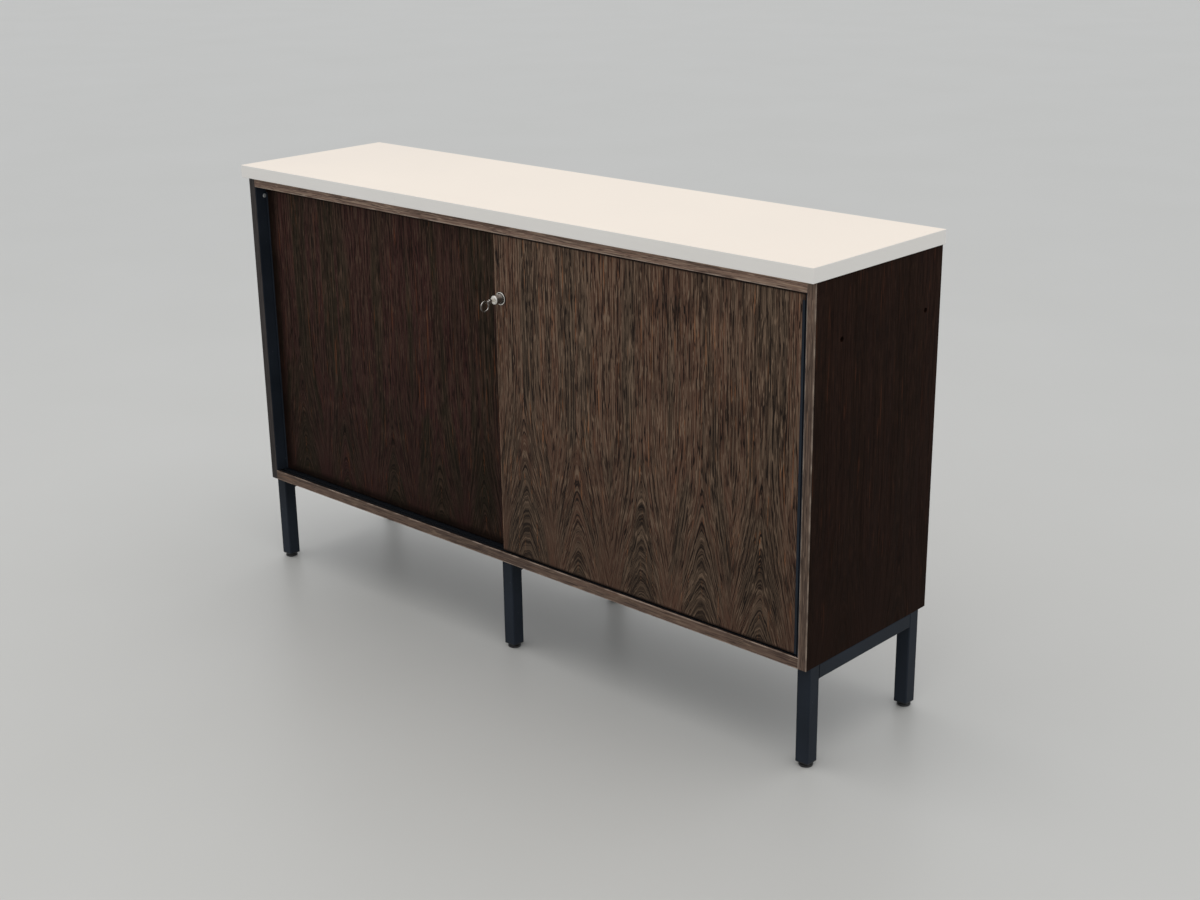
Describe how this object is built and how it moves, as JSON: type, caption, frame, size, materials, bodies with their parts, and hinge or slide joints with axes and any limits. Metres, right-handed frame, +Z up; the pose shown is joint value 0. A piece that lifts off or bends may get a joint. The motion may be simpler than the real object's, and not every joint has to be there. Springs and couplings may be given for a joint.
{
  "type": "sideboard",
  "caption": "Low office sideboard with sliding doors and a push lock, dark wood carcass under a pale top slab, on square steel tube legs with levelling feet.",
  "frame": {"origin": "on the floor, under the centre of the box that holds the whole sideboard with its key", "axes": "+X to the right along the front, +Y from the front to the back, +Z up"},
  "size_m": [1.61, 0.4444, 0.968],
  "materials": {
    "cream_laminate": "matt laminate on chipboard",
    "wenge_veneer": "satin lacquered veneer",
    "wenge_lipping": "satin lacquered lipping",
    "wenge_board": "veneered chipboard",
    "hardboard_back": "veneered fibreboard",
    "blue_grey_steel": "satin powder coat",
    "anodised_aluminium": "dull anodised",
    "nickel_steel": "nickel plated",
    "zinc_steel": "zinc plated",
    "black_nylon": "moulded",
    "beech_dowel": "raw"
  },
  "bodies": {
    "cabinet": {"top_slab": "cream_laminate", "top_board": "wenge_board", "bottom_board": "wenge_board", "centre_partition": "wenge_board", "left_shelf": "wenge_board", "right_shelf": "wenge_board", "back_panel": "hardboard_back", "left_side_panel": "wenge_veneer", "right_side_panel": "wenge_veneer", "top_lipping": "wenge_lipping", "bottom_lipping": "wenge_lipping", "left_side_lipping": "wenge_lipping", "right_side_lipping": "wenge_lipping", "upper_track": "anodised_aluminium", "lower_track": "anodised_aluminium", "left_jamb_strip": "blue_grey_steel", "right_jamb_strip": "blue_grey_steel", "shelf_pins": "nickel_steel", "carcass_dowels": "beech_dowel", "slab_screws": "zinc_steel", "back_screws": "zinc_steel", "jamb_screws": "zinc_steel", "frame_bolts": "zinc_steel", "leg_plugs": "black_nylon", "left_front_leg": "blue_grey_steel", "left_back_leg": "blue_grey_steel", "middle_front_leg": "blue_grey_steel", "middle_back_leg": "blue_grey_steel", "right_front_leg": "blue_grey_steel", "right_back_leg": "blue_grey_steel", "left_rail": "blue_grey_steel", "middle_rail": "blue_grey_steel", "right_rail": "blue_grey_steel"},
    "left_door": {"left_door_panel": "wenge_veneer", "left_door_edge_cap": "blue_grey_steel", "left_door_gliders": "black_nylon", "left_door_guides": "black_nylon", "strike_bush": "nickel_steel"},
    "right_door": {"right_door_panel": "wenge_veneer", "right_door_edge_cap": "blue_grey_steel", "right_door_gliders": "black_nylon", "right_door_guides": "black_nylon", "lock_sleeve": "nickel_steel"},
    "lock_barrel": {"lock_barrel": "nickel_steel"},
    "key": {"lock_plug": "nickel_steel", "key_blade": "nickel_steel", "key_rivet": "nickel_steel"},
    "key_bow": {"key_bow": "nickel_steel"},
    "left_front_foot": {"left_front_foot": "black_nylon"},
    "left_back_foot": {"left_back_foot": "black_nylon"},
    "middle_front_foot": {"middle_front_foot": "black_nylon"},
    "middle_back_foot": {"middle_back_foot": "black_nylon"},
    "right_front_foot": {"right_front_foot": "black_nylon"},
    "right_back_foot": {"right_back_foot": "black_nylon"}
  },
  "joints": [
    {"name": "left_door_slide", "type": "slide", "parent": "cabinet", "child": "left_door", "axis": [1, 0, 0], "range_m": [0, 0.747]},
    {"name": "right_door_slide", "type": "slide", "parent": "cabinet", "child": "right_door", "axis": [1, 0, 0], "range_m": [-0.775, 0]},
    {"name": "lock_push", "type": "slide", "parent": "right_door", "child": "lock_barrel", "axis": [0, 1, 0], "range_m": [0, 0.0115], "stiffness_N_per_m": 400, "springref_m": -0.01},
    {"name": "key_turn", "type": "hinge", "parent": "lock_barrel", "child": "key", "pos_m": [0.0165, -0.18682, 0.784], "axis": [0, 1, 0], "range_deg": [0, 90]},
    {"name": "key_fold", "type": "hinge", "parent": "key", "child": "key_bow", "pos_m": [0.0165, -0.19582, 0.784], "axis": [1, 0, 0], "range_deg": [-119, 61]},
    {"name": "left_front_foot_height", "type": "slide", "parent": "cabinet", "child": "left_front_foot", "axis": [0, 0, -1], "range_m": [0, 0.01]},
    {"name": "left_back_foot_height", "type": "slide", "parent": "cabinet", "child": "left_back_foot", "axis": [0, 0, -1], "range_m": [0, 0.01]},
    {"name": "middle_front_foot_height", "type": "slide", "parent": "cabinet", "child": "middle_front_foot", "axis": [0, 0, -1], "range_m": [0, 0.01]},
    {"name": "middle_back_foot_height", "type": "slide", "parent": "cabinet", "child": "middle_back_foot", "axis": [0, 0, -1], "range_m": [0, 0.01]},
    {"name": "right_front_foot_height", "type": "slide", "parent": "cabinet", "child": "right_front_foot", "axis": [0, 0, -1], "range_m": [0, 0.01]},
    {"name": "right_back_foot_height", "type": "slide", "parent": "cabinet", "child": "right_back_foot", "axis": [0, 0, -1], "range_m": [0, 0.01]}
  ]
}
